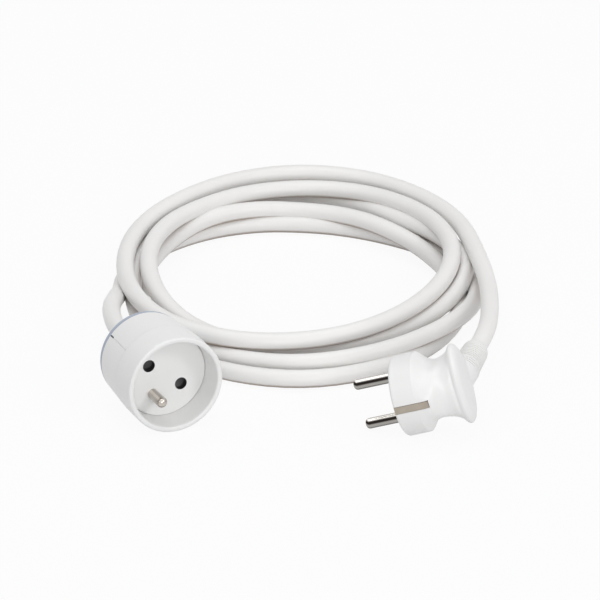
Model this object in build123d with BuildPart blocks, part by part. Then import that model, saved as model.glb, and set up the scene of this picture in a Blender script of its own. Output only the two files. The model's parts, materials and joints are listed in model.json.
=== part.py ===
from build123d import *

import os
from math import asin, cos, degrees, pi, radians, sin, tan

os.makedirs("parts", exist_ok=True)

# Mains extension lead: a socket with an earth pin, a coiled cable, an angled plug.
# Millimetres, +Z up. The socket's axis runs along Y at the height of its radius and its well
# opens towards -Y; the origin is on the ground under the middle of the socket's body.

# ---- contact pattern shared by the plug and the socket ----
pin_pitch = 19.0
pin_r = 2.4
pin_tail_r = 2.0  # behind the face, so that each pin has a shoulder to sit on
hole_r = 2.75
earth_offset = 10.0
earth_pin_l = 12.0
plug_pin_l = 19.0
slip = 0.05  # radial clearance of a part that sits in a bore
seat = 0.1  # gap between faces that only rest against each other

# ---- cable ----
cord_d = 8.3
cord_r = cord_d / 2
core_r = 1.3
core_bend = 1.5

# ---- socket, depths measured from the rim ----
collar_r = 22.5
socket_l = 41.5
mouth_y = -20.5
socket_roll = 36.5
well_depth = 12.5
well_mouth_r = collar_r - 2.4
well_floor_r = collar_r - 3.0
rim_round = 1.0
collar_l = 15.5
spigot_r = collar_r - 1.9
spigot_end = collar_l + 4.5
plate_r = well_floor_r - 0.2
plate_t = 2.5
plate_back = well_depth + plate_t
shell_r = collar_r - 0.2
shell_rear_r = collar_r - 1.7
shell_end = 35.0
seam_angle = 141.0
seam_groove = 0.3
notch_l = 3.4
notch_w = 0.8
ring_spigot_l = 4.2
ring_spigot_r = shell_rear_r - 1.6
ring_wall = 2.0
ring_round_r = 5.8
ring_round_l = socket_l - shell_end - slip

# ---- shutter ----
shutter_travel = 40.0
shutter_t = 2.8
shutter_front = plate_back + 0.2
shutter_back = shutter_front + shutter_t
shutter_hub_r = 5.0
shutter_tip_r = 13.0
shutter_cover_angle = degrees(asin(hole_r / (pin_pitch / 2))) + 4.2
shutter_thin = 0.4
pivot_r = 1.55
chamber_r = shutter_tip_r + 0.8
chamber_end = shutter_back + 0.3
spring_wire_r = 0.3
spring_turn_r = 3.0
spring_l = 2.5
spring_pocket_r = 4.2
spring_pocket_end = chamber_end + 2.8
stop_r = 0.8
stop_at_r = 11.0
stop_gap_angle = 5.5

# ---- socket contacts ----
carrier_end = 25.5
contact_r = 3.4
contact_bore_r = pin_r + slip
contact_front = chamber_end + 0.2
block_end = 31.5
wire_level = 28.5
wire_hole_r = core_r + slip
screw_r = 1.2
screw_head_r = 1.9
screw_head_l = 1.4
earth_block_w = 12.0
earth_block_h = 6.4
earth_wire_x = 5.0
earth_block_shift = 0.6
slot_w = 0.6

# ---- socket cable grip and sleeve ----
jacket_end = 31.1
grip_front = 31.7
grip_back = 35.4
grip_half = 15.0
grip_t = 3.4
grip_screw_x = 12.3
shelf_t = 6.8
flange_r = 8.6
flange_front = 35.9
ring_floor = socket_l - 3.0
neck_r = 7.0
sleeve_l = 21.0
sleeve_tip_r = 5.2

# ---- plug, depths measured from its pin face ----
plug_r = 18.0
base_l = 10.4
face_t = 4.0
base_round = 1.2
base_cavity_r = plug_r - 2.2
waist_h = 23.2
bar_w = 21.2
bar_h = 37.6
bar_level = 27.9
bar_rim_t = 0.8
dome_h = 3.3
barrel_r = 6.9
barrel_root_r = 6.2
barrel_root_l = 10.0
pin_block_r = 3.3
pin_block_end = 8.8
plug_wire_level = pin_block_end - 3.0
strip_w = 3.2
strip_t = 1.0
strip_l = 16.0
tube_r = 3.3
tube_bore_r = pin_r + 0.1
cover_screw_x = -2.6
post_r = 3.0
cable_floor = 21.35
exit_level = cable_floor + cord_d / 2
exit_tilt = 4.6
plug_sleeve_start = 17.3
plug_sleeve_end = 38.8
plug_sleeve_r = 6.6
plug_sleeve_end_r = 5.9
plug_sleeve_shoulder = 2.6
rib_pitch = 1.8
rib_depth = 0.45
rib_cut_w = 0.6
rib_count = 10
barrel_rib_count = 3
plug_flange_r = 5.9
plug_flange_front = 11.4
plug_flange_t = 2.0
plug_neck_r = 5.1
plug_jacket_end = 5.0
plug_grip_front = 5.2
plug_grip_back = 9.0
plug_grip_t = 2.6
plug_grip_half = 7.6
plug_grip_screw = 5.5
grip_bore_l = 4.0
cover_bore_l = 8.0
core_room_w = 10.6
core_room_h = 12.6
core_room_drop = 3.3
core_drop = 2.9

# ---- where the plug lies: on the tip of its lower pin and the lower edge of its face ----
plug_x = 89.85
plug_y = -61.65
plug_yaw = 144.83
plug_pitch = 17.4
plug_roll = 2.05
pin_reach = plug_pin_l * sin(radians(plug_pitch)) + (pin_pitch / 2 + pin_r) * cos(radians(plug_pitch))
edge_reach = (plug_r - base_round) * cos(radians(plug_pitch)) + base_round * (1 - sin(radians(plug_pitch)))
plug_z = max(pin_reach, edge_reach) + 0.05

# ---- coil: an oval heap of five turns ----
coil_x = 114.0
coil_y = 93.4
coil_turn = -25.0
coil_half_w = 86.3
coil_half_l = 108.4
coil_inner_r = 65.5
coil_height = 22.6
coil_round = 8.0

# ---- the free lengths of cable, from each sleeve to the coil ----
socket_route = [
    (0.0, mouth_y + socket_l + sleeve_l, collar_r),
    (2.9, 57.2, 22.0),
    (10.3, 76.9, 19.0),
    (21.6, 98.2, 12.5),
    (33.0, 117.3, 6.6),
    (41.4, 133.6, 5.0),
]
plug_route = [
    (152.0, -24.0, 23.4),
    (166.3, 2.5, 20.5),
    (179.7, 31.5, 18.4),
    (190.8, 63.8, 18.5),
]


def bend_radii(route):
    """Each corner's arc takes 0.45 of the shorter of its two runs."""
    points = [Vector(*point) for point in route]
    radii = []
    for before, corner, after in zip(points, points[1:], points[2:]):
        half_turn = radians((corner - before).get_angle(after - corner)) / 2
        shorter = min((corner - before).length, (after - corner).length)
        radii.append(0.45 * shorter / tan(half_turn))
    return radii


def polar(radius, angle):
    """A point at this radius and angle in a sketch plane."""
    return (radius * cos(radians(angle)), radius * sin(radians(angle)))


# ---------------------------------------------------------------- frames
roll = radians(socket_roll)
mouth = Plane(
    origin=(0, mouth_y, collar_r),
    x_dir=(cos(roll), 0, -sin(roll)),
    z_dir=(0, 1, 0),
)
socket_axis = Axis(mouth.origin, mouth.z_dir)
# in this plane a sketch's x is the radius and its y is the depth behind the rim
section = Plane(origin=mouth.origin, x_dir=mouth.x_dir, z_dir=-mouth.y_dir)
seam_dir = Vector(cos(radians(seam_angle)), 0, sin(radians(seam_angle)))
seam = Plane(origin=mouth.origin, x_dir=mouth.z_dir, z_dir=(seam_dir.Z, 0, -seam_dir.X))

yaw = radians(plug_yaw)
pitch = radians(plug_pitch)
plug_back = Vector(-cos(pitch) * cos(yaw), -cos(pitch) * sin(yaw), sin(pitch))
level_side = Vector(sin(yaw), -cos(yaw), 0)
turned = radians(plug_roll)
plug = Plane(
    origin=(plug_x, plug_y, plug_z),
    x_dir=level_side * cos(turned) - plug_back.cross(level_side) * sin(turned),
    z_dir=plug_back,
)
plug_axis = Axis(plug.origin, plug.z_dir)
plug_section = Plane(origin=plug.origin, x_dir=plug.x_dir, z_dir=-plug.y_dir)
# the cable leaves the plug sideways, tilted a little away from the pins
tilt = radians(exit_tilt)
exit_dir = plug.x_dir * cos(tilt) + plug.z_dir * sin(tilt)
cable_exit = Plane(
    origin=plug.origin + plug.z_dir * exit_level, x_dir=plug.y_dir, z_dir=exit_dir
)
exit_axis = Axis(cable_exit.origin, cable_exit.z_dir)
exit_section = Plane(
    origin=cable_exit.origin, x_dir=cable_exit.x_dir, z_dir=-cable_exit.y_dir
)

half_pitch = pin_pitch / 2
contact_spots = [(-half_pitch, 0), (half_pitch, 0)]
earth_spot = (0, earth_offset)

# ================================================================ socket
# ---------------------------------------------------------------- front collar
with BuildPart() as front_collar:
    with BuildSketch(section):
        with BuildLine():
            Polyline(
                (well_mouth_r, 0),
                (collar_r, 0),
                (collar_r, collar_l / 2),
                (shell_r, collar_l),
                (spigot_r, collar_l),
                (spigot_r, spigot_end),
                (well_floor_r, spigot_end),
                (well_floor_r, well_depth),
                close=True,
            )
        make_face()
    revolve(axis=socket_axis)
    fillet(front_collar.edges().group_by(Axis.Y)[0], radius=rim_round)
front_collar.part.label = "front_collar"
export_step(front_collar.part, "parts/front_collar.step")

# ---------------------------------------------------------------- face plate
with BuildPart() as face_plate:
    with BuildSketch(mouth.offset(well_depth)):
        Circle(plate_r)
        with Locations(*contact_spots):
            Circle(hole_r, mode=Mode.SUBTRACT)
        with Locations(earth_spot):
            Circle(pin_tail_r + slip, mode=Mode.SUBTRACT)
    extrude(amount=plate_t)
face_plate.part.label = "face_plate"
export_step(face_plate.part, "parts/face_plate.step")

# ---------------------------------------------------------------- earth pin
with BuildPart() as earth_pin:
    with BuildSketch(mouth.offset(well_depth - earth_pin_l)):
        with Locations(earth_spot):
            Circle(pin_r)
    extrude(amount=earth_pin_l)
    with BuildSketch(mouth.offset(well_depth)):
        with Locations(earth_spot):
            Circle(pin_tail_r)
    extrude(amount=block_end - well_depth)
    fillet(earth_pin.edges().group_by(Axis.Y)[0], radius=pin_r - 0.2)
earth_pin.part.label = "earth_pin"
export_step(earth_pin.part, "parts/earth_pin.step")

# ---------------------------------------------------------------- rotary shutter
# Two wings cover the holes. The front of each is a ramp: a pin that presses on both at once
# turns the shutter until the wings are clear of the holes.
wing_half = shutter_tip_r * sin(radians(shutter_cover_angle))
with BuildPart() as shutter:
    with BuildSketch(mouth.offset(shutter_front)):
        Circle(shutter_hub_r)
        for wing_angle in (0, 180):
            with BuildLine():
                low = polar(shutter_tip_r, wing_angle - shutter_cover_angle)
                high = polar(shutter_tip_r, wing_angle + shutter_cover_angle)
                Line((0, 0), low)
                ThreePointArc(low, polar(shutter_tip_r, wing_angle), high)
                Line(high, (0, 0))
            make_face()
        Circle(pivot_r + slip, mode=Mode.SUBTRACT)
    extrude(amount=shutter_t)
    for wing_angle in (0, 180):
        out = mouth.x_dir * cos(radians(wing_angle))
        with BuildSketch(
            Plane(
                origin=mouth.origin + mouth.z_dir * shutter_front + out * shutter_hub_r,
                x_dir=mouth.y_dir * cos(radians(wing_angle)),
                z_dir=out,
            )
        ):
            with BuildLine():
                Polyline(
                    (-wing_half - 1, -1),
                    (-wing_half - 1, shutter_t - shutter_thin),
                    (-wing_half, shutter_t - shutter_thin),
                    (wing_half, 0),
                    (wing_half, -1),
                    close=True,
                )
            make_face()
        extrude(amount=shutter_tip_r, mode=Mode.SUBTRACT)
shutter.part.label = "shutter"
export_step(shutter.part, "parts/shutter.step")

# ---------------------------------------------------------------- shutter spring
spring_start = shutter_back + slip + spring_wire_r
with BuildPart() as shutter_spring:
    with BuildLine():
        coil_line = Helix(
            pitch=spring_l / 3,
            height=spring_l,
            radius=spring_turn_r,
            center=mouth.origin + mouth.z_dir * spring_start,
            direction=mouth.z_dir,
        )
    with BuildSketch(Plane(origin=coil_line @ 0, z_dir=coil_line % 0)):
        Circle(spring_wire_r)
    sweep(is_frenet=True)
shutter_spring.part.label = "shutter_spring"
export_step(shutter_spring.part, "parts/shutter_spring.step")

# ---------------------------------------------------------------- contact carrier
stop_angles = [
    base + side * (shutter_cover_angle + stop_gap_angle) + (shutter_travel if side > 0 else 0)
    for base in (0, 180)
    for side in (-1, 1)
]
with BuildPart() as contact_carrier:
    with BuildSketch(mouth.offset(plate_back)):
        Circle(plate_r)
    extrude(amount=carrier_end - plate_back)
    with BuildSketch(mouth.offset(plate_back)):
        Circle(chamber_r)
    extrude(amount=chamber_end - plate_back, mode=Mode.SUBTRACT)
    with BuildSketch(mouth.offset(chamber_end)):
        Circle(spring_pocket_r)
    extrude(amount=spring_pocket_end - chamber_end, mode=Mode.SUBTRACT)
    with BuildSketch(mouth.offset(shutter_front)):
        Circle(pivot_r)
    extrude(amount=spring_pocket_end - shutter_front)
    with BuildSketch(mouth.offset(shutter_front)):
        with Locations(*[polar(stop_at_r, angle) for angle in stop_angles]):
            Circle(stop_r)
    extrude(amount=chamber_end - shutter_front)
    with BuildSketch(mouth.offset(chamber_end)):
        with Locations(*contact_spots):
            Circle(contact_r + slip)
        with Locations(earth_spot):
            Circle(pin_tail_r + slip)
    extrude(amount=carrier_end - chamber_end, mode=Mode.SUBTRACT)
contact_carrier.part.label = "contact_carrier"
export_step(contact_carrier.part, "parts/contact_carrier.step")

# ---------------------------------------------------------------- line and neutral contacts
for name, side in (("line_contact", 1), ("neutral_contact", -1)):
    with BuildPart() as contact:
        with BuildSketch(mouth.offset(contact_front)):
            with Locations((side * half_pitch, 0)):
                Circle(contact_r)
        extrude(amount=block_end - contact_front)
        with BuildSketch(mouth.offset(contact_front)):
            with Locations((side * half_pitch, 0)):
                Circle(contact_bore_r)
                Rectangle(0.8, 2 * contact_r + 1)
        extrude(amount=carrier_end - contact_front, mode=Mode.SUBTRACT)
        inner = Plane(
            origin=mouth.origin + mouth.z_dir * wire_level + mouth.x_dir * side * half_pitch,
            x_dir=mouth.y_dir,
            z_dir=mouth.x_dir * side,
        )
        with BuildSketch(inner.offset(-contact_r - 1)):
            Circle(wire_hole_r)
        extrude(amount=contact_r + 2, mode=Mode.SUBTRACT)
        with BuildSketch(inner):
            Circle(screw_r + slip)
        extrude(amount=contact_r + 1, mode=Mode.SUBTRACT)
    contact.part.label = name
    export_step(contact.part, f"parts/{name}.step")

# ---------------------------------------------------------------- earth terminal
earth_block_mid = (earth_wire_x - pin_r) / 2 + earth_block_shift
with BuildPart() as earth_terminal:
    with BuildSketch(mouth.offset(carrier_end + seat)):
        with Locations((earth_block_mid, earth_offset)):
            Rectangle(earth_block_w, earth_block_h)
        with Locations(earth_spot):
            Circle(pin_tail_r + slip, mode=Mode.SUBTRACT)
    extrude(amount=block_end - carrier_end - 2 * seat)
    earth_in = Plane(
        origin=mouth.origin + mouth.z_dir * wire_level + mouth.x_dir * earth_wire_x,
        x_dir=mouth.x_dir,
        z_dir=mouth.y_dir,
    )
    with BuildSketch(earth_in.offset(earth_offset - earth_block_h / 2 - 1)):
        Circle(wire_hole_r)
    extrude(amount=earth_block_h / 2 + 2, mode=Mode.SUBTRACT)
    with BuildSketch(earth_in.offset(earth_offset)):
        Circle(screw_r + slip)
    extrude(amount=earth_block_h, mode=Mode.SUBTRACT)
earth_terminal.part.label = "earth_terminal"
export_step(earth_terminal.part, "parts/earth_terminal.step")

# ---------------------------------------------------------------- terminal screws
screw_planes = [
    Plane(
        origin=mouth.origin + mouth.z_dir * wire_level + mouth.x_dir * side * (half_pitch + contact_r),
        x_dir=mouth.y_dir,
        z_dir=mouth.x_dir * side,
    )
    for side in (1, -1)
]
screw_planes.append(earth_in.offset(earth_offset + earth_block_h / 2))
with BuildPart() as terminal_screws:
    for screw_plane in screw_planes:
        with BuildSketch(screw_plane.offset(core_r - contact_r + 0.2)):
            Circle(screw_r)
        extrude(amount=contact_r - core_r)
        with BuildSketch(screw_plane.offset(seat)):
            Circle(screw_head_r)
        extrude(amount=screw_head_l)
        with BuildSketch(screw_plane.offset(seat + screw_head_l)):
            Rectangle(slot_w, 2 * screw_head_r + 1)
        extrude(amount=-slot_w, mode=Mode.SUBTRACT)
terminal_screws.part.label = "terminal_screws"
export_step(terminal_screws.part, "parts/terminal_screws.step")

# ---------------------------------------------------------------- half shells
# A ring round the contacts, parted along a seam; a latch notch opens on the seam at the rear.
for name, upper in (("shell_upper", 1), ("shell_lower", -1)):
    with BuildPart() as shell:
        with BuildSketch(section):
            with BuildLine():
                Polyline(
                    (spigot_r + slip, collar_l + seat),
                    (shell_r, collar_l + seat),
                    (shell_rear_r, shell_end),
                    (ring_spigot_r + slip, shell_end),
                    (ring_spigot_r + slip, shell_end - ring_spigot_l - seat),
                    (spigot_r + slip, spigot_end + seat),
                    close=True,
                )
            make_face()
        revolve(axis=socket_axis)
        for side in (1, -1):
            seam_out = seam_dir * side
            with BuildSketch(
                Plane(
                    origin=mouth.origin + seam_out * (ring_spigot_r - 1),
                    x_dir=mouth.z_dir,
                    z_dir=seam_out,
                )
            ):
                with Locations((shell_end - notch_l / 2, 0)):
                    Rectangle(notch_l, notch_w)
            extrude(amount=collar_r, mode=Mode.SUBTRACT)
            # groove along the seam, as deep as it is wide
            with BuildSketch(seam):
                with BuildLine():
                    Polyline(
                        (collar_l, side * (shell_r - seam_groove)),
                        (collar_l, side * (shell_r + 1)),
                        (shell_end, side * (shell_rear_r + 1)),
                        (shell_end, side * (shell_rear_r - seam_groove)),
                        close=True,
                    )
                make_face()
            extrude(amount=seam_groove / 2, both=True, mode=Mode.SUBTRACT)
        split(bisect_by=seam, keep=Keep.TOP if upper > 0 else Keep.BOTTOM)
    shell.part.label = name
    export_step(shell.part, f"parts/{name}.step")

# ---------------------------------------------------------------- rear ring
cup_r = ring_spigot_r - ring_wall
grip = Plane(
    origin=mouth.origin + mouth.z_dir * (grip_front + grip_back) / 2,
    x_dir=mouth.x_dir,
    z_dir=mouth.y_dir,
)
grip_screw_spots = [(-grip_screw_x, 0), (grip_screw_x, 0)]
with BuildPart() as rear_ring:
    with BuildSketch(section):
        with BuildLine():
            Polyline(
                (neck_r + slip, socket_l),
                (neck_r + slip, ring_floor),
                (cup_r, ring_floor),
                (cup_r, shell_end - ring_spigot_l),
                (ring_spigot_r, shell_end - ring_spigot_l),
                (ring_spigot_r, shell_end + slip),
                (shell_rear_r, shell_end + slip),
            )
            EllipticalCenterArc(
                (shell_rear_r - ring_round_r, socket_l - ring_round_l),
                ring_round_r,
                ring_round_l,
                start_angle=0,
                arc_size=90,
            )
            Line((shell_rear_r - ring_round_r, socket_l), (neck_r + slip, socket_l))
        make_face()
    revolve(axis=socket_axis)
    for side in (1, -1):
        with BuildSketch(
            Plane(
                origin=mouth.origin + seam_dir * side * (cup_r - 1),
                x_dir=mouth.z_dir,
                z_dir=seam_dir * side,
            )
        ):
            with Locations((shell_end - notch_l / 2, 0)):
                Rectangle(notch_l, notch_w)
        extrude(amount=collar_r, mode=Mode.SUBTRACT)
    # shelf that the cable is gripped against
    with BuildSketch(mouth.offset(grip_front)):
        with Locations((0, cord_r + slip + shelf_t / 2)):
            Rectangle(2 * grip_half, shelf_t)
        Circle(cup_r + 0.5, mode=Mode.INTERSECT)
    extrude(amount=ring_floor - grip_front)
    with BuildSketch(grip):
        with Locations(*grip_screw_spots):
            Circle(screw_r + slip)
    extrude(amount=cup_r, mode=Mode.SUBTRACT)
    with BuildSketch(mouth.offset(flange_front - seat)):
        Circle(flange_r + slip)
    extrude(amount=ring_floor - flange_front + seat, mode=Mode.SUBTRACT)
rear_ring.part.label = "rear_ring"
export_step(rear_ring.part, "parts/rear_ring.step")

# ---------------------------------------------------------------- cable grip bar and screws
with BuildPart() as socket_grip:
    with BuildSketch(grip.offset(-cord_r - slip)):
        Rectangle(2 * grip_half, grip_back - grip_front)
        with Locations(*grip_screw_spots):
            Circle(screw_r + slip, mode=Mode.SUBTRACT)
    extrude(amount=-grip_t)
socket_grip.part.label = "socket_grip"
export_step(socket_grip.part, "parts/socket_grip.step")

with BuildPart() as socket_grip_screws:
    with BuildSketch(grip.offset(-cord_r - grip_t - seat)):
        with Locations(*grip_screw_spots):
            Circle(screw_r)
    extrude(amount=cord_r + grip_t + shelf_t)
    with BuildSketch(grip.offset(-cord_r - grip_t - seat)):
        with Locations(*grip_screw_spots):
            Circle(screw_head_r)
    extrude(amount=-screw_head_l)
    with BuildSketch(grip.offset(-cord_r - grip_t - seat - screw_head_l)):
        with Locations(*grip_screw_spots):
            Rectangle(2 * screw_head_r + 1, slot_w)
    extrude(amount=slot_w, mode=Mode.SUBTRACT)
socket_grip_screws.part.label = "socket_grip_screws"
export_step(socket_grip_screws.part, "parts/socket_grip_screws.step")

# ---------------------------------------------------------------- socket sleeve
sleeve_end = socket_l + sleeve_l
with BuildPart() as socket_sleeve:
    with BuildSketch(section):
        with BuildLine():
            Polyline(
                (cord_r + slip, flange_front),
                (flange_r, flange_front),
                (flange_r, ring_floor - seat),
                (neck_r, ring_floor - seat),
                (neck_r, socket_l + seat),
                (sleeve_tip_r, sleeve_end),
                (cord_r + slip, sleeve_end),
                close=True,
            )
        make_face()
        for rib in range(1, 7):
            with Locations((neck_r, socket_l + rib * sleeve_l / 7)):
                Rectangle(2 * (neck_r - sleeve_tip_r), 1.0, mode=Mode.SUBTRACT)
    revolve(axis=socket_axis)
socket_sleeve.part.label = "socket_sleeve"
export_step(socket_sleeve.part, "parts/socket_sleeve.step")

# ---------------------------------------------------------------- cores in the socket
core_routes = {}
for name, side in (("socket_core_line", 1), ("socket_core_neutral", -1)):
    core_routes[name] = [
        mouth.from_local_coords((side * 1.7, -1.0, jacket_end - 6 * seat)),
        mouth.from_local_coords((side * 1.7, 0, wire_level)),
        mouth.from_local_coords((side * (half_pitch + 0.6), 0, wire_level)),
    ]
core_routes["socket_core_earth"] = [
    mouth.from_local_coords((0, 2.0, jacket_end - 6 * seat)),
    mouth.from_local_coords((0, 2.6, wire_level)),
    mouth.from_local_coords((earth_wire_x, 4.4, wire_level)),
    mouth.from_local_coords((earth_wire_x, earth_offset + 0.6, wire_level)),
]

# ---------------------------------------------------------------- cut end of the cable, socket
with BuildPart() as cord_socket_end:
    with BuildSketch(mouth.offset(jacket_end)):
        Circle(cord_r)
    extrude(amount=sleeve_end - jacket_end)
cord_socket_end.part.label = "cord_socket_end"
export_step(cord_socket_end.part, "parts/cord_socket_end.step")

# ================================================================ plug
# In the plug's plane x runs towards the cable's side, y towards the upper pin, z away from the pins.
pin_spots = [(0, half_pitch), (0, -half_pitch)]
tube_spot = (-earth_offset, 0)
strip_out = plug_r
strip_in = plug_r - strip_t
groove_w = strip_w + 0.3
groove_in = strip_in - 0.2

# ---------------------------------------------------------------- plug base
with BuildPart() as plug_base:
    with BuildSketch(plug):
        Circle(plug_r)
    extrude(amount=base_l)
    fillet(plug_base.edges().sort_by(plug_axis)[0], radius=base_round)
    with BuildSketch(plug.offset(face_t)):
        Circle(base_cavity_r)
    extrude(amount=base_l - face_t, mode=Mode.SUBTRACT)
    with BuildSketch(plug.offset(face_t - 1)):
        with Locations((cover_screw_x, 0)):
            Circle(post_r)
    extrude(amount=strip_l - strip_t - seat - face_t + 1)
    with BuildSketch(plug):
        with Locations(*pin_spots):
            Circle(pin_tail_r + slip)
        with Locations(tube_spot):
            Circle(tube_bore_r + 0.1)
        with Locations((cover_screw_x, 0)):
            Circle(screw_r + 2 * slip)
    extrude(amount=strip_l, mode=Mode.SUBTRACT)
    with BuildSketch(plug.offset(1.0)):
        with Locations(tube_spot):
            Circle(tube_r + slip)
    extrude(amount=base_l, mode=Mode.SUBTRACT)
    with BuildSketch(plug):
        with Locations((cover_screw_x, 0)):
            Circle(post_r - 0.6)
    extrude(amount=2.4, mode=Mode.SUBTRACT)
    with BuildSketch(plug):
        with Locations((plug_r, 0), (-plug_r, 0)):
            Rectangle(2 * (plug_r - groove_in), groove_w)
    extrude(amount=base_l, mode=Mode.SUBTRACT)
plug_base.part.label = "plug_base"
export_step(plug_base.part, "parts/plug_base.step")

# ---------------------------------------------------------------- plug pins
for name, side in (("plug_pin_upper", 1), ("plug_pin_lower", -1)):
    with BuildPart() as plug_pin:
        with BuildSketch(plug.offset(-plug_pin_l)):
            with Locations((0, side * half_pitch)):
                Circle(pin_r)
        extrude(amount=plug_pin_l)
        fillet(plug_pin.edges().sort_by(plug_axis)[0], radius=pin_r - 0.6)
        with BuildSketch(plug):
            with Locations((0, side * half_pitch)):
                Circle(pin_tail_r)
        extrude(amount=face_t + seat)
        with BuildSketch(plug.offset(face_t + seat)):
            with Locations((0, side * half_pitch)):
                Circle(pin_block_r)
        extrude(amount=pin_block_end - face_t - seat)
        wire_in = Plane(
            origin=plug.from_local_coords((-1, side * half_pitch, plug_wire_level)),
            x_dir=plug.y_dir,
            z_dir=plug.x_dir,
        )
        with BuildSketch(wire_in):
            Circle(wire_hole_r)
        extrude(amount=pin_block_r + 2, mode=Mode.SUBTRACT)
        with BuildSketch(plug.offset(pin_block_end)):
            with Locations((0, side * half_pitch)):
                Circle(screw_r + slip)
        extrude(amount=-2.2, mode=Mode.SUBTRACT)
    plug_pin.part.label = name
    export_step(plug_pin.part, f"parts/{name}.step")

with BuildPart() as plug_terminal_screws:
    with BuildSketch(plug.offset(pin_block_end - 1.6)):
        with Locations(*pin_spots):
            Circle(screw_r)
    extrude(amount=1.6 + seat)
    with BuildSketch(plug.offset(pin_block_end + seat)):
        with Locations(*pin_spots):
            Circle(screw_head_r)
    extrude(amount=screw_head_l)
    with BuildSketch(plug.offset(pin_block_end + seat + screw_head_l)):
        with Locations(*pin_spots):
            Rectangle(slot_w, 2 * screw_head_r + 1)
    extrude(amount=-slot_w, mode=Mode.SUBTRACT)
plug_terminal_screws.part.label = "plug_terminal_screws"
export_step(plug_terminal_screws.part, "parts/plug_terminal_screws.step")

# ---------------------------------------------------------------- earth strap and tube
# A flat U: two side contacts in the housing's grooves joined by a bridge behind the base.
crimp_mid = 8.6
crimp_l = 3.0
with BuildPart() as earth_strap:
    with BuildSketch(plug_section):
        with BuildLine():
            Polyline(
                (strip_in, 0.4),
                (strip_out, 0.4),
                (strip_out, strip_l),
                (-strip_out, strip_l),
                (-strip_out, 0.4),
                (-strip_in, 0.4),
                (-strip_in, strip_l - strip_t),
                (strip_in, strip_l - strip_t),
                close=True,
            )
        make_face()
    extrude(amount=strip_w / 2, both=True)
    with BuildSketch(plug.offset(strip_l - strip_t)):
        with Locations((cover_screw_x, 0)):
            Circle(post_r)
    extrude(amount=strip_t)
    with BuildSketch(plug.offset(strip_l - strip_t)):
        with Locations((cover_screw_x, 0)):
            Circle(screw_r + 2 * slip)
    extrude(amount=strip_t, mode=Mode.SUBTRACT)
    with BuildSketch(plug.offset(strip_l)):
        with Locations((crimp_mid, 0)):
            Rectangle(crimp_l, strip_w)
    extrude(amount=2 * core_r + 0.4)
    with BuildSketch(
        Plane(
            origin=plug.from_local_coords((crimp_mid, 0, strip_l + core_r + slip)),
            x_dir=plug.y_dir,
            z_dir=plug.x_dir,
        )
    ):
        Circle(wire_hole_r)
    extrude(amount=crimp_l, both=True, mode=Mode.SUBTRACT)
earth_strap.part.label = "earth_strap"
export_step(earth_strap.part, "parts/earth_strap.step")

with BuildPart() as earth_tube:
    with BuildSketch(plug.offset(1.0 + seat)):
        with Locations(tube_spot):
            Circle(tube_r)
            Circle(tube_bore_r, mode=Mode.SUBTRACT)
    extrude(amount=strip_l - strip_t - 1.0 - 2 * seat)
earth_tube.part.label = "earth_tube"
export_step(earth_tube.part, "parts/earth_tube.step")

# ---------------------------------------------------------------- plug cover
# The cover starts as round as the base. Behind it the cover is an oval as wide as the base, drawn
# in to a waist and flared into the finger bar, whose back is domed; each section is a level, half
# a width and half a height. A barrel for the cable runs out of the bar's side.
shoulder_level = 16.5
half_waist = waist_h / 2
half_bar_w = bar_w / 2
half_bar_h = bar_h / 2
rim_back = bar_level + bar_rim_t
body_sections = [
    (base_l, plug_r, plug_r),
    (base_l + 1.2, plug_r, half_waist + 5.1),
    (base_l + 2.5, plug_r, half_waist + 3.4),
    (base_l + 4.0, plug_r - 0.1, half_waist + 1.9),
    (shoulder_level, plug_r - 0.7, half_waist + 1.0),
    (19.8, half_bar_w + 3.4, half_waist + 1.5),
    (23.4, half_bar_w + 0.6, half_waist + 3.0),
    (26.4, half_bar_w - 0.2, half_bar_h - 1.4),
    (bar_level, half_bar_w, half_bar_h),
]
rim_sections = [(bar_level, half_bar_w, half_bar_h), (rim_back, half_bar_w, half_bar_h)]
dome_sections = [
    (rim_back + dome_h * sin(radians(lean)), half_bar_w * cos(radians(lean)), half_bar_h * cos(radians(lean)))
    for lean in (0, 25, 48, 66, 80)
]
cavity_sections = [
    (base_l, 15.5, half_waist - 0.6),
    (base_l + 0.8, 15.5, half_waist - 1.0),
    (shoulder_level, 14.5, half_waist - 2.7),
    (21.3, 8.5, half_waist - 5.1),
]
barrel_l = plug_sleeve_start - seat
plug_grip_plane = Plane(
    origin=cable_exit.origin + exit_dir * (plug_grip_front + plug_grip_back) / 2,
    x_dir=cable_exit.x_dir,
    z_dir=cable_exit.y_dir,
)
plug_grip_spots = [(-plug_grip_screw, 0), (plug_grip_screw, 0)]
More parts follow.
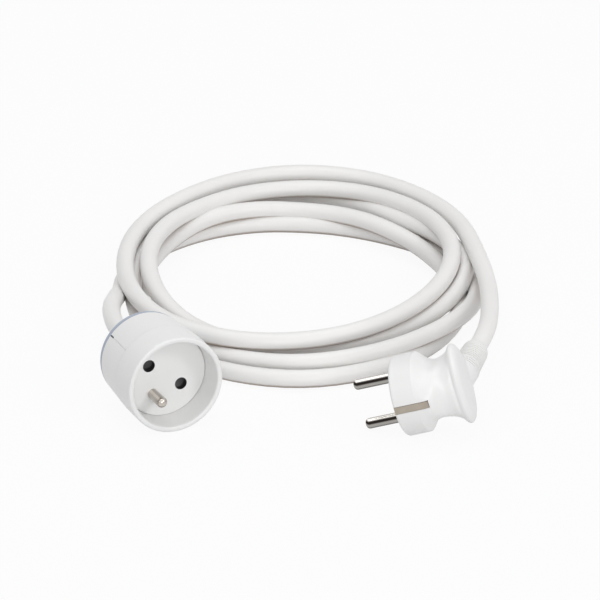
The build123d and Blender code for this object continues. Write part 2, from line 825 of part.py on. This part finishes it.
with BuildPart() as plug_cover:
    for sections in (body_sections, rim_sections, dome_sections):
        for level, half_width, half_height in sections:
            with BuildSketch(plug.offset(level)):
                Ellipse(half_width, half_height)
        loft(ruled=len(sections) == 2)
    with BuildSketch(exit_section):
        with BuildLine():
            Polyline(
                (0, 0),
                (barrel_root_r, 0),
                (barrel_r, barrel_root_l),
                (barrel_r, barrel_l),
                (0, barrel_l),
                close=True,
            )
        make_face()
    revolve(axis=exit_axis)
    # the sleeve's ribs are carried on along the barrel
    with BuildSketch(exit_section):
        for rib in range(barrel_rib_count):
            with Locations((barrel_r, plug_sleeve_start - rib_cut_w - (rib + 0.5) * rib_pitch)):
                Rectangle(2 * rib_depth, rib_cut_w)
    revolve(axis=exit_axis, mode=Mode.SUBTRACT)
    for level, half_width, half_height in cavity_sections:
        with BuildSketch(plug.offset(level)):
            Ellipse(half_width, half_height)
    loft(ruled=True, mode=Mode.SUBTRACT)
    # post for the long screw
    with BuildSketch(plug.offset(strip_l + seat)):
        with Locations((cover_screw_x, 0)):
            Circle(post_r)
    extrude(amount=cavity_sections[-1][0] - strip_l)
    with BuildSketch(plug.offset(strip_l)):
        with Locations((cover_screw_x, 0)):
            Circle(screw_r + slip)
    extrude(amount=cover_bore_l, mode=Mode.SUBTRACT)
    # channel, flange seat and neck bore along the cable
    with BuildSketch(cable_exit.offset(plug_jacket_end - 3.0)):
        Circle(cord_r + slip)
    extrude(amount=barrel_l, mode=Mode.SUBTRACT)
    with BuildSketch(cable_exit.offset(plug_flange_front - seat)):
        Circle(plug_flange_r + slip)
    extrude(amount=plug_flange_t + 3 * seat, mode=Mode.SUBTRACT)
    with BuildSketch(cable_exit.offset(plug_flange_front)):
        Circle(plug_neck_r + slip)
    extrude(amount=barrel_l, mode=Mode.SUBTRACT)
    # room where the cores part, and where the grip bar is screwed on
    with BuildSketch(cable_exit.offset(1.5)):
        with Locations((0, -core_room_drop)):
            Rectangle(core_room_w, core_room_h)
    extrude(amount=plug_jacket_end, mode=Mode.SUBTRACT)
    with BuildSketch(cable_exit.offset(plug_grip_front - 0.2)):
        with Locations((0, -cord_r - 3.0)):
            Rectangle(2 * plug_grip_half + 0.6, 6.0)
    extrude(amount=plug_grip_back - plug_grip_front + 0.4, mode=Mode.SUBTRACT)
    with BuildSketch(plug_grip_plane.offset(-cord_r)):
        with Locations(*plug_grip_spots):
            Circle(screw_r + slip)
    extrude(amount=grip_bore_l, mode=Mode.SUBTRACT)
    # grooves and slots for the earth strap
    with BuildSketch(plug.offset(base_l)):
        with Locations((plug_r, 0), (-plug_r, 0)):
            Rectangle(2 * (plug_r - groove_in), groove_w)
        Rectangle(2 * plug_r, groove_w)
    extrude(amount=strip_l - base_l + seat, mode=Mode.SUBTRACT)
plug_cover.part.label = "plug_cover"
export_step(plug_cover.part, "parts/plug_cover.step")

# ---------------------------------------------------------------- long screw of the cover
with BuildPart() as cover_screw:
    with BuildSketch(plug.offset(2.4 - seat)):
        with Locations((cover_screw_x, 0)):
            Circle(post_r - 0.8)
    extrude(amount=-screw_head_l)
    with BuildSketch(plug.offset(1.0)):
        with Locations((cover_screw_x, 0)):
            Circle(screw_r)
    extrude(amount=strip_l + 5.0)
    with BuildSketch(plug.offset(2.4 - seat - screw_head_l)):
        with Locations((cover_screw_x, 0)):
            Rectangle(slot_w, 2 * post_r)
    extrude(amount=slot_w, mode=Mode.SUBTRACT)
cover_screw.part.label = "cover_screw"
export_step(cover_screw.part, "parts/cover_screw.step")

# ---------------------------------------------------------------- cable grip in the plug
with BuildPart() as plug_grip:
    with BuildSketch(plug_grip_plane.offset(-cord_r - slip)):
        Rectangle(2 * plug_grip_half, plug_grip_back - plug_grip_front)
        with Locations(*plug_grip_spots):
            Circle(screw_r + slip, mode=Mode.SUBTRACT)
    extrude(amount=-plug_grip_t)
plug_grip.part.label = "plug_grip"
export_step(plug_grip.part, "parts/plug_grip.step")

with BuildPart() as plug_grip_screws:
    with BuildSketch(plug_grip_plane.offset(-cord_r - slip - plug_grip_t - seat)):
        with Locations(*plug_grip_spots):
            Circle(screw_r)
    extrude(amount=plug_grip_t + 3.0)
    with BuildSketch(plug_grip_plane.offset(-cord_r - slip - plug_grip_t - seat)):
        with Locations(*plug_grip_spots):
            Circle(screw_head_r)
    extrude(amount=-screw_head_l)
plug_grip_screws.part.label = "plug_grip_screws"
export_step(plug_grip_screws.part, "parts/plug_grip_screws.step")

# ---------------------------------------------------------------- ribbed plug sleeve
with BuildPart() as plug_sleeve:
    with BuildSketch(exit_section):
        with BuildLine():
            Polyline(
                (cord_r + 1.0, plug_sleeve_end),
                (cord_r + slip, plug_sleeve_end),
                (cord_r + slip, plug_flange_front),
                (plug_flange_r, plug_flange_front),
                (plug_flange_r, plug_flange_front + plug_flange_t),
                (plug_neck_r, plug_flange_front + plug_flange_t),
                (plug_neck_r, plug_sleeve_start),
                (plug_sleeve_r, plug_sleeve_start),
                (plug_sleeve_end_r, plug_sleeve_end - plug_sleeve_shoulder),
                (cord_r + 1.0, plug_sleeve_end),
            )
        make_face()
        for rib in range(rib_count):
            with Locations((plug_sleeve_r, plug_sleeve_start + 2.0 + rib * rib_pitch)):
                Rectangle(2 * rib_depth + 0.6, rib_cut_w, mode=Mode.SUBTRACT)
    revolve(axis=exit_axis)
plug_sleeve.part.label = "plug_sleeve"
export_step(plug_sleeve.part, "parts/plug_sleeve.step")

# ---------------------------------------------------------------- cut end of the cable, plug
with BuildPart() as cord_plug_end:
    with BuildSketch(cable_exit.offset(plug_jacket_end)):
        Circle(cord_r)
    extrude(amount=plug_sleeve_end - plug_jacket_end)
cord_plug_end.part.label = "cord_plug_end"
export_step(cord_plug_end.part, "parts/cord_plug_end.step")

# ---------------------------------------------------------------- cores
for name, side in (("plug_core_line", 1), ("plug_core_neutral", -1)):
    core_routes[name] = [
        cable_exit.from_local_coords((side * 2.3, -1.2, plug_jacket_end - seat)),
        cable_exit.from_local_coords((side * 2.3, -1.2, plug_jacket_end - 2.0)),
        plug.from_local_coords((3.7, side * 3.1, exit_level - core_drop)),
        plug.from_local_coords((4.2, side * 4.4, 17.2)),
        plug.from_local_coords((7.0, side * half_pitch, plug_wire_level + 3.0)),
        plug.from_local_coords((6.4, side * half_pitch, plug_wire_level)),
        plug.from_local_coords((0.6, side * half_pitch, plug_wire_level)),
    ]
core_routes["plug_core_earth"] = [
    cable_exit.from_local_coords((0, 2.2, plug_jacket_end - seat)),
    cable_exit.from_local_coords((0, 2.2, plug_jacket_end - 1.8)),
    plug.from_local_coords((3.2, 0, strip_l + core_r + slip)),
    plug.from_local_coords((crimp_mid + crimp_l / 2, 0, strip_l + core_r + slip)),
]
for name, route in core_routes.items():
    with BuildPart() as core:
        with BuildLine() as core_line:
            FilletPolyline(*route, radius=core_bend)
        with BuildSketch(Plane(origin=core_line.line @ 0, z_dir=core_line.line % 0)):
            Circle(core_r)
        sweep()
    core.part.label = name
    export_step(core.part, f"parts/{name}.step")

# ================================================================ cable
sleeve_mouth = cable_exit.from_local_coords((0, 0, plug_sleeve_end))
routes = {
    "cord_socket_lead": socket_route,
    "cord_plug_lead": [tuple(sleeve_mouth)] + plug_route,
}
for name, route in routes.items():
    radii = bend_radii(route)
    with BuildPart() as cord_lead:
        with BuildLine() as cord_line:
            FilletPolyline(*route, radius=radii)
        with BuildSketch(Plane(origin=cord_line.line @ 0, z_dir=cord_line.line % 0)):
            Circle(cord_r)
        sweep()
    length = sum(edge.length for edge in cord_line.line.edges())
    print(name, "radii", [round(radius, 1) for radius in radii])
    print(name, "length", round(length, 1), "volume", round(cord_lead.part.volume, 1))
    print(name, "section times length", round(pi * cord_r**2 * length, 1))
    cord_lead.part.label = name
    export_step(cord_lead.part, f"parts/{name}.step")

with BuildPart() as cord_coil:
    coil_dir = (cos(radians(coil_turn)), sin(radians(coil_turn)), 0)
    with BuildSketch(Plane(origin=(coil_x, coil_y, 0), x_dir=coil_dir, z_dir=(0, 0, 1))):
        Ellipse(coil_half_w, coil_half_l)
        with Locations((-1.2, -0.6)):
            Circle(coil_inner_r, mode=Mode.SUBTRACT)
    extrude(amount=coil_height)
    fillet(cord_coil.faces().filter_by(Axis.Z).edges(), radius=coil_round)
cord_coil.part.label = "cord_coil"
export_step(cord_coil.part, "parts/cord_coil.step")
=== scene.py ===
import json
import math

import bpy
import numpy as np
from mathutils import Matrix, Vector


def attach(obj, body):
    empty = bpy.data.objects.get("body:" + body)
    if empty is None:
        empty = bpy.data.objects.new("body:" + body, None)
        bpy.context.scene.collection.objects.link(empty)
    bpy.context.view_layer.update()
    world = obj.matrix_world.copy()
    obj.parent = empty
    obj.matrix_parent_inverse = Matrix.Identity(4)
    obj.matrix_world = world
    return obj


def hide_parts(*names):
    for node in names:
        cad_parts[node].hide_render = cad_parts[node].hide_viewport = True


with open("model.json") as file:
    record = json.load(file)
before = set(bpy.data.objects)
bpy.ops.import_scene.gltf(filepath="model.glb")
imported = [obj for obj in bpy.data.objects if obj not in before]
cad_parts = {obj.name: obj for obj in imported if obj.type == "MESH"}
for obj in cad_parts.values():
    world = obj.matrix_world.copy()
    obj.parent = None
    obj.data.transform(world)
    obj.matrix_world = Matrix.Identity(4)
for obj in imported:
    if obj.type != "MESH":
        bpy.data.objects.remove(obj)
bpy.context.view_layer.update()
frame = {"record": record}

# ---------------------------------------------------------------- sizes, metres
MM = 0.001
CORD_D = 0.0083
LOWEST = CORD_D / 2 + 0.0001

# where the camera looks, and from where: low, from the socket's side of the coil
TARGET = Vector((0.1098, 0.0862, 0.0))
CAMERA_TURN = math.radians(25.0)
CAMERA_HEIGHT = math.radians(24.0)
CAMERA_DISTANCE = 2.6
CAMERA_REACH = 20.0
LENS = 335.4

# the oval that the cable is heaped along, level with the ground, turned like the camera
COIL_CENTRE = (0.1157, 0.0989)
COIL_HALF = (0.071, 0.084)
COIL_TURN = -CAMERA_TURN
STEPS_PER_TURN = 16

# How each turn lies, at the eight points of the compass from the left, clockwise from above:
# how far outside the oval its middle is, and its height, millimetres.
TURNS = [
    [(10.2, 4.9), (-6, 4.3), (-19.5, 4.3), (-13, 4.3), (10, 6), (18, 11.5), (16, 7), (9, 4.3)],
    [(3, 4.3), (-8, 12), (-15.5, 9.5), (-17.5, 11), (0.8, 4.3), (16, 4.3), (27.8, 4.3), (19, 4.3)],
    [(4.5, 12.2), (3, 9.5), (7.8, 7.6), (-7.3, 11.8), (7, 13.2), (0.8, 8), (-5, 4.3), (2, 9)],
    [
        (-0.8, 18.4), (-4.5, 16.7), (0, 14.7), (-1.5, 17.5),
        (0, 18.8), (-0.5, 15.6), (3, 12.3), (15, 14),
    ],
    [(9.6, 18.2), (6.5, 18.2), (14.5, 17), (9, 18.7), (9.5, 19)],
]

# how finely the cable's mesh is cut, round its section and along each stretch of its route
SECTION_STEPS = 6
ROUTE_STEPS = 5

# the free lengths: out of the socket's sleeve to the coil, and from the coil into the plug
SOCKET_ROUTE = [
    (0.0, 0.0106, 0.0225),
    (0.0, 0.042, 0.0225),
    (0.0029, 0.0572, 0.022),
    (0.0103, 0.0769, 0.019),
    (0.0216, 0.0982, 0.0125),
    (0.033, 0.1173, 0.0066),
]
PLUG_ROUTE = [
    (0.1797, 0.0315, 0.0184),
    (0.1663, 0.0025, 0.0205),
    (0.152, -0.024, 0.0234),
    (0.1348, -0.046, 0.0243),
    (0.113, -0.0718, 0.0247),
]

# the two contact holes of the socket's face, whose axes run along Y, and how far past the
# walls the painted shade inside them reaches
HOLE_AXES = [(0.007637, 0.016849), (-0.007637, 0.028151)]
HOLE_R = 0.00275
HOLE_SLIP = 0.00012

# ---------------------------------------------------------------- looks
WHITE_SHADES = [(0.80, 0.80, 0.79), (0.84, 0.84, 0.83)]
# painted shade on the walls of the contact holes
HOLE_PAINTED_SHADE = (0.02, 0.02, 0.02)
# painted reflection: the dark bands on the pins
PIN_PAINTED_REFLECTION = (0.02, 0.017, 0.015)
# painted reflection: the softer dark bands on the earth pin
EARTH_PIN_PAINTED_REFLECTION = (0.05, 0.04, 0.035)
# painted shade: warm brown on the cable's undersides, where the turns touch
CABLE_PAINTED_SHADE = (0.24, 0.16, 0.11)

# the colour sockets of a Mix node, which come after those for numbers and vectors
MIX_A, MIX_B, MIX_RESULT = 6, 7, 2

# the part of the noise's range over which a finish goes from its first shade to its second
SHADE_RANGE = (0.3, 0.7)

# where a surface's upward slope takes it from one painted tone of light and shade to the next
SLOPE_STEPS = [
    ("Low", -0.75, -0.3),
    ("Side", -0.05, 0.25),
    ("Crest", 0.55, 0.75),
    ("Top", 0.9, 0.98),
]

# the surround's tint and light, the floor's own grey, and how much of it plain white covers
SKY = (0.98, 0.985, 1.0, 1)
SKY_STRENGTH = 0.5
FLOOR_SIDE = 3.0
FLOOR_GREY = (0.72, 0.72, 0.72, 1)
FLOOR_WHITE = 0.93

# each lamp's place from the target, its two sides in metres and its power in watts
LAMPS = {
    "key": ((0.65, -1.6, 1.2), (0.6, 0.6), 7.5),
    "top": ((-0.1, 0.2, 1.7), (1.6, 1.6), 10.2),
    "front": ((-0.6, -2.3, 0.7), (1.4, 1.0), 14.5),
    "left": ((-1.5, -0.4, 0.9), (0.9, 0.9), 1.5),
}


# ---------------------------------------------------------------- camera
def face_target(obj, offset):
    """Puts a camera or lamp at this offset from the target, and turns it to look there."""
    obj.location = TARGET + offset
    obj.rotation_euler = (-offset).to_track_quat("-Z", "Y").to_euler()
    bpy.context.collection.objects.link(obj)


def camera():
    """Looks at the target from CAMERA_HEIGHT above the ground, CAMERA_TURN round from -Y."""
    level = math.cos(CAMERA_HEIGHT)
    away = Vector((
        -math.sin(CAMERA_TURN) * level,
        -math.cos(CAMERA_TURN) * level,
        math.sin(CAMERA_HEIGHT),
    ))
    data = bpy.data.cameras.new("camera")
    data.lens = LENS
    data.clip_end = CAMERA_REACH
    obj = bpy.data.objects.new("camera", data)
    face_target(obj, away * CAMERA_DISTANCE)
    bpy.context.scene.camera = obj


# ---------------------------------------------------------------- cable
def coil_points():
    """Points along the turns: each is the oval's point at its angle, moved outward.

    Between two listed places lies one more, the cubic mean (9 (b + c) - (a + d)) / 16 of its four
    neighbours. All are swelled a little, by 1 / (3/4 + cos(step) / 4), because a quadratic spline
    passes inside its control points.
    """
    listed = np.array([place for turn in TURNS for place in turn], float) * MM
    last = len(listed) - 1
    step = 2 * math.pi / STEPS_PER_TURN
    swell = 1 / (0.75 + 0.25 * math.cos(step))
    c, s = math.cos(COIL_TURN), math.sin(COIL_TURN)
    points = []
    for i in range(2 * last + 1):
        k = i // 2
        if i % 2:
            near = listed[k] + listed[k + 1]
            far = listed[max(k - 1, 0)] + listed[min(k + 2, last)]
            outward, height = (9 * near - far) / 16
        else:
            outward, height = listed[k]
        height = max(height, LOWEST)
        angle = i * step
        x = -COIL_HALF[0] * math.cos(angle)
        y = COIL_HALF[1] * math.sin(angle)
        nx = -math.cos(angle) * COIL_HALF[1]
        ny = math.sin(angle) * COIL_HALF[0]
        size = math.hypot(nx, ny)
        x = (x + outward * nx / size) * swell
        y = (y + outward * ny / size) * swell
        points.append((COIL_CENTRE[0] + x * c - y * s, COIL_CENTRE[1] + x * s + y * c, height))
    return points


def cable(material):
    """One round cable from end to end: a quadratic spline through the listed route."""
    route = SOCKET_ROUTE + coil_points() + PLUG_ROUTE
    data = bpy.data.curves.new("cable", "CURVE")
    data.dimensions = "3D"
    data.bevel_depth = CORD_D / 2
    data.bevel_resolution = SECTION_STEPS
    data.resolution_u = ROUTE_STEPS
    data.use_fill_caps = True
    spline = data.splines.new("NURBS")
    spline.points.add(len(route) - 1)
    for point, place in zip(spline.points, route):
        point.co = (*place, 1.0)
    spline.order_u = 3
    spline.use_endpoint_u = True
    obj = bpy.data.objects.new("cable", data)
    obj.data.materials.append(material)
    bpy.context.collection.objects.link(obj)
    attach(obj, "lead")
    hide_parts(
        "cord_coil", "cord_socket_lead", "cord_plug_lead", "cord_socket_end", "cord_plug_end"
    )
    return obj


# ---------------------------------------------------------------- shader building
def add(tree, kind, values=None, **settings):
    """A new shader node with these settings, and these values in its inputs."""
    made = tree.nodes.new("ShaderNode" + kind)
    for name, setting in settings.items():
        setattr(made, name, setting)
    for socket, value in (values or {}).items():
        made.inputs[socket].default_value = value
    return made


def group(name, inputs, outputs):
    """A shader node group with these numbers as inputs and these numbers as outputs."""
    tree = bpy.data.node_groups.new(name, "ShaderNodeTree")
    new_socket = tree.interface.new_socket
    for label, value in inputs.items():
        socket = new_socket(name=label, in_out="INPUT", socket_type="NodeSocketFloat")
        socket.default_value = value
    for label in outputs:
        new_socket(name=label, in_out="OUTPUT", socket_type="NodeSocketFloat")
    return tree, tree.nodes.new("NodeGroupInput"), tree.nodes.new("NodeGroupOutput")


def grain_group():
    """Two noises in object space, from 0 to 1: a broad mottle, and a relief of mottle and grain."""
    tree, given, result = group(
        "moulded_grain",
        {"Mottle Scale": 40.0, "Grain Scale": 900.0, "Grain Share": 0.5},
        ["Mottle", "Height"],
    )
    link = tree.links.new
    coord = add(tree, "TexCoord")
    broad = add(tree, "TexNoise", {"Detail": 3.0})
    fine = add(tree, "TexNoise", {"Detail": 5.0})
    mix = add(tree, "Mix")
    link(coord.outputs["Object"], broad.inputs["Vector"])
    link(coord.outputs["Object"], fine.inputs["Vector"])
    link(given.outputs["Mottle Scale"], broad.inputs["Scale"])
    link(given.outputs["Grain Scale"], fine.inputs["Scale"])
    link(given.outputs["Grain Share"], mix.inputs["Factor"])
    link(broad.outputs["Fac"], mix.inputs["A"])
    link(fine.outputs["Fac"], mix.inputs["B"])
    link(broad.outputs["Fac"], result.inputs["Mottle"])
    link(mix.outputs["Result"], result.inputs["Height"])
    return tree


def painted_light_slope_group():
    """A painted tone of light and shade that goes with how far a surface faces up, in smooth steps
    from Under to Top.
    """
    tree, given, result = group(
        "painted_light_slope_tone",
        {"Under": 1.0, "Low": 1.0, "Side": 1.0, "Crest": 1.0, "Top": 1.0},
        ["Tone"],
    )
    link = tree.links.new
    surface = add(tree, "NewGeometry")
    split = add(tree, "SeparateXYZ")
    link(surface.outputs["Normal"], split.inputs["Vector"])
    tone = given.outputs["Under"]
    for label, start, end in SLOPE_STEPS:
        step = add(
            tree, "MapRange", {"From Min": start, "From Max": end}, interpolation_type="SMOOTHSTEP"
        )
        mix = add(tree, "Mix")
        link(split.outputs["Z"], step.inputs["Value"])
        link(step.outputs["Result"], mix.inputs["Factor"])
        link(tone, mix.inputs["A"])
        link(given.outputs[label], mix.inputs["B"])
        tone = mix.outputs["Result"]
    link(tone, result.inputs["Tone"])
    return tree


def new_material(name):
    """A material, its node tree and its shader."""
    mat = bpy.data.materials.new(name)
    mat.use_nodes = True
    tree = mat.node_tree
    return mat, tree, tree.nodes["Principled BSDF"]


# ---------------------------------------------------------------- finishes
def textured(name, shades, rough, texture, gloss_by, bump, depth):
    """A surface whose colour and gloss drift over it, with a fine grain in relief.

    The colour goes from the first shade to the second with the mottle, the roughness between its
    two values with the texture's output gloss_by, and the relief is depth metres deep.
    """
    mat, tree, shader = new_material(name)
    link = tree.links.new
    grain = add(tree, "Group", node_tree=GRAIN)
    for label, value in texture.items():
        grain.inputs[label].default_value = value
    colours = add(tree, "ValToRGB")
    for stop, place, shade in zip(colours.color_ramp.elements, SHADE_RANGE, shades):
        stop.position = place
        stop.color = (*shade, 1)
    gloss = add(tree, "MapRange", {"To Min": rough[0], "To Max": rough[1]})
    relief = add(tree, "Bump", {"Strength": bump, "Distance": depth})
    link(grain.outputs["Mottle"], colours.inputs["Fac"])
    link(colours.outputs["Color"], shader.inputs["Base Color"])
    link(grain.outputs[gloss_by], gloss.inputs["Value"])
    link(gloss.outputs["Result"], shader.inputs["Roughness"])
    link(grain.outputs["Height"], relief.inputs["Height"])
    link(relief.outputs["Normal"], shader.inputs["Normal"])
    return mat


def moulded(name, shades, rough=(0.3, 0.42), mottle=30.0, grain=900.0, bump=0.05):
    """Moulded plastic, whose gloss goes with its fine grain."""
    texture = {"Mottle Scale": mottle, "Grain Scale": grain, "Grain Share": 0.5}
    return textured(name, shades, rough, texture, "Height", bump, depth=0.0002)


def metal(name, shades, rough, bump=0.02):
    """Plated or drawn metal, clouded a little, with hairline scratches."""
    texture = {"Mottle Scale": 120.0, "Grain Scale": 400.0, "Grain Share": 0.6}
    mat = textured(name, shades, rough, texture, "Mottle", bump, depth=0.0001)
    mat.node_tree.nodes["Principled BSDF"].inputs["Metallic"].default_value = 1.0
    return mat


def recolour(mat, colour, keep):
    """Blends the base colour with another: where keep is 1 it stays, and 0 is all the other."""
    tree = mat.node_tree
    base = tree.nodes["Principled BSDF"].inputs["Base Color"]
    plain = base.links[0].from_socket
    mix = add(tree, "Mix", {MIX_A: (*colour, 1)}, data_type="RGBA")
    tree.links.new(keep, mix.inputs["Factor"])
    tree.links.new(plain, mix.inputs[MIX_B])
    tree.links.new(mix.outputs[MIX_RESULT], base)


def paint_hole_shade(mat):
    """Paints shade on the walls of the contact holes: all that lies within HOLE_R of an axis is
    made dark.
    """
    tree = mat.node_tree
    link = tree.links.new
    coord = add(tree, "TexCoord")
    outside = None
    for x, z in HOLE_AXES:
        offset = add(tree, "VectorMath", {1: (x, 0, z)}, operation="SUBTRACT")
        flat = add(tree, "VectorMath", {1: (1, 0, 1)}, operation="MULTIPLY")
        size = add(tree, "VectorMath", operation="LENGTH")
        beyond = add(tree, "Math", {1: HOLE_R + HOLE_SLIP}, operation="GREATER_THAN")
        link(coord.outputs["Object"], offset.inputs[0])
        link(offset.outputs["Vector"], flat.inputs[0])
        link(flat.outputs["Vector"], size.inputs[0])
        link(size.outputs["Value"], beyond.inputs[0])
        if outside is None:
            outside = beyond
            continue
        both = add(tree, "Math", operation="MINIMUM")
        link(outside.outputs["Value"], both.inputs[0])
        link(beyond.outputs["Value"], both.inputs[1])
        outside = both
    recolour(mat, HOLE_PAINTED_SHADE, outside.outputs["Value"])


def paint_light_by_slope(mat, colour, under, low=1.0, side=1.0, top=1.0):
    """Blends another colour in by the slope as painted light and shade: each number is the share
    kept there, the crest's 1.
    """
    slope = add(mat.node_tree, "Group", node_tree=PAINTED_LIGHT_SLOPE)
    for label, value in {"Under": under, "Low": low, "Side": side, "Top": top}.items():
        slope.inputs[label].default_value = value
    recolour(mat, colour, slope.outputs["Tone"])


def finishes():
    """The finish of each material slot, and of the face plate and earth pin with their own painted
    light.
    """
    white = WHITE_SHADES
    nickel = metal("nickel", [(0.78, 0.75, 0.71), (0.86, 0.83, 0.79)], (0.2, 0.3), bump=0.008)
    # painted reflection on the pins: dark and bright bands by how far each part faces up
    paint_light_by_slope(nickel, PIN_PAINTED_REFLECTION, under=0.1, low=0.45, side=0.0, top=0.35)
    earth_pin = metal("earth_pin_nickel", [(0.62, 0.57, 0.52), (0.74, 0.69, 0.64)], (0.16, 0.28))
    # painted reflection on the earth pin: softer bands by how far each part faces up
    paint_light_by_slope(earth_pin, EARTH_PIN_PAINTED_REFLECTION, under=0.3, low=0.85, side=0.7, top=0.55)
    face_plate = moulded("face_plate_plastic", white)
    # painted shade on the walls of the contact holes
    paint_hole_shade(face_plate)
    by_slot = {
        "white_plastic": moulded("white_plastic", white),
        "grey_plastic": moulded(
            "grey_plastic", [(0.09, 0.09, 0.09), (0.13, 0.13, 0.13)], (0.5, 0.65)
        ),
        "rear_plastic": moulded(
            "rear_plastic", [(0.35, 0.40, 0.49), (0.40, 0.45, 0.54)], (0.35, 0.5)
        ),
        "sleeve_plastic": moulded(
            "sleeve_plastic", [(0.80, 0.80, 0.78), (0.84, 0.84, 0.82)], (0.45, 0.6), bump=0.015
        ),
        "nickel": nickel,
        "strap_nickel": metal(
            "strap_nickel", [(0.36, 0.31, 0.26), (0.44, 0.39, 0.33)], (0.25, 0.38)
        ),
        "contact_brass": metal(
            "contact_brass", [(0.72, 0.52, 0.22), (0.80, 0.60, 0.28)], (0.2, 0.35)
        ),
        "screw_steel": metal("screw_steel", [(0.50, 0.50, 0.51), (0.62, 0.62, 0.63)], (0.25, 0.4)),
        "spring_steel": metal(
            "spring_steel", [(0.42, 0.42, 0.43), (0.55, 0.55, 0.56)], (0.25, 0.35)
        ),
        "core_line": moulded("core_line", [(0.10, 0.035, 0.012), (0.13, 0.045, 0.016)]),
        "core_neutral": moulded("core_neutral", [(0.01, 0.06, 0.30), (0.015, 0.08, 0.36)]),
        "core_earth": moulded("core_earth", [(0.12, 0.30, 0.02), (0.50, 0.50, 0.03)], mottle=120.0),
    }
    return by_slot, {"face_plate": face_plate, "earth_pin": earth_pin}


def dress_nodes():
    """Each CAD node gets the finish of what it is made of."""
    by_slot, by_node = finishes()
    for entry in frame["record"]["subparts"]:
        obj = bpy.data.objects.get(entry["node"])
        material = by_node.get(entry["node"], by_slot.get(entry["material_slot"]))
        if obj is None or material is None:
            continue
        for place in obj.material_slots:
            place.material = material


# ---------------------------------------------------------------- studio
def seen_white(tree, shader, output, share):
    """Mixes in this share of plain white for rays from the camera, a mirror or glass."""
    link = tree.links.new
    path = add(tree, "LightPath")
    glossy = add(tree, "Math", operation="MAXIMUM")
    clear = add(tree, "Math", operation="MAXIMUM")
    part = add(tree, "Math", {1: share}, operation="MULTIPLY")
    white = add(tree, "Emission", {"Color": (1, 1, 1, 1)})
    mix = add(tree, "MixShader")
    link(path.outputs["Is Camera Ray"], glossy.inputs[0])
    link(path.outputs["Is Glossy Ray"], glossy.inputs[1])
    link(glossy.outputs["Value"], clear.inputs[0])
    link(path.outputs["Is Transmission Ray"], clear.inputs[1])
    link(clear.outputs["Value"], part.inputs[0])
    link(part.outputs["Value"], mix.inputs["Fac"])
    link(shader.outputs[0], mix.inputs[1])
    link(white.outputs[0], mix.inputs[2])
    link(mix.outputs[0], output.inputs["Surface"])


def surround():
    """A world that lights softly and shows as plain white."""
    world = bpy.data.worlds.new("studio")
    bpy.context.scene.world = world
    world.use_nodes = True
    tree = world.node_tree
    light = tree.nodes["Background"]
    light.inputs["Color"].default_value = SKY
    light.inputs["Strength"].default_value = SKY_STRENGTH
    seen_white(tree, light, tree.nodes["World Output"], 1.0)


def ground():
    """A square floor that shows nearly white and keeps the shadow."""
    mesh = bpy.data.meshes.new("floor")
    corners = [(-1, -1), (1, -1), (1, 1), (-1, 1)]
    places = [(TARGET.x + x * FLOOR_SIDE, TARGET.y + y * FLOOR_SIDE, 0) for x, y in corners]
    mesh.from_pydata(places, [], [(0, 1, 2, 3)])
    floor = bpy.data.objects.new("floor", mesh)
    bpy.context.collection.objects.link(floor)
    mat, tree, shader = new_material("floor_white")
    shader.inputs["Base Color"].default_value = FLOOR_GREY
    shader.inputs["Roughness"].default_value = 0.9
    shader.inputs["Specular IOR Level"].default_value = 0.0
    seen_white(tree, shader, tree.nodes["Material Output"], FLOOR_WHITE)
    mesh.materials.append(mat)


def lamps():
    """Soft lamps round the target, all turned towards it."""
    for name, (offset, sides, power) in LAMPS.items():
        data = bpy.data.lights.new(name, "AREA")
        data.shape = "RECTANGLE"
        data.size, data.size_y = sides
        data.energy = power
        face_target(bpy.data.objects.new(name, data), Vector(offset))


# ---------------------------------------------------------------- the scene
GRAIN = grain_group()
PAINTED_LIGHT_SLOPE = painted_light_slope_group()

camera()
dress_nodes()
jacket = moulded(
    "cable_jacket", [(0.80, 0.79, 0.775), (0.845, 0.835, 0.82)], (0.34, 0.44), mottle=18.0,
    grain=500.0, bump=0.06,
)
# painted shade on the cable's undersides, between its turns
paint_light_by_slope(jacket, CABLE_PAINTED_SHADE, under=0.1)
lead = cable(jacket)
surround()
ground()
lamps()
bpy.context.scene.view_settings.view_transform = "Standard"
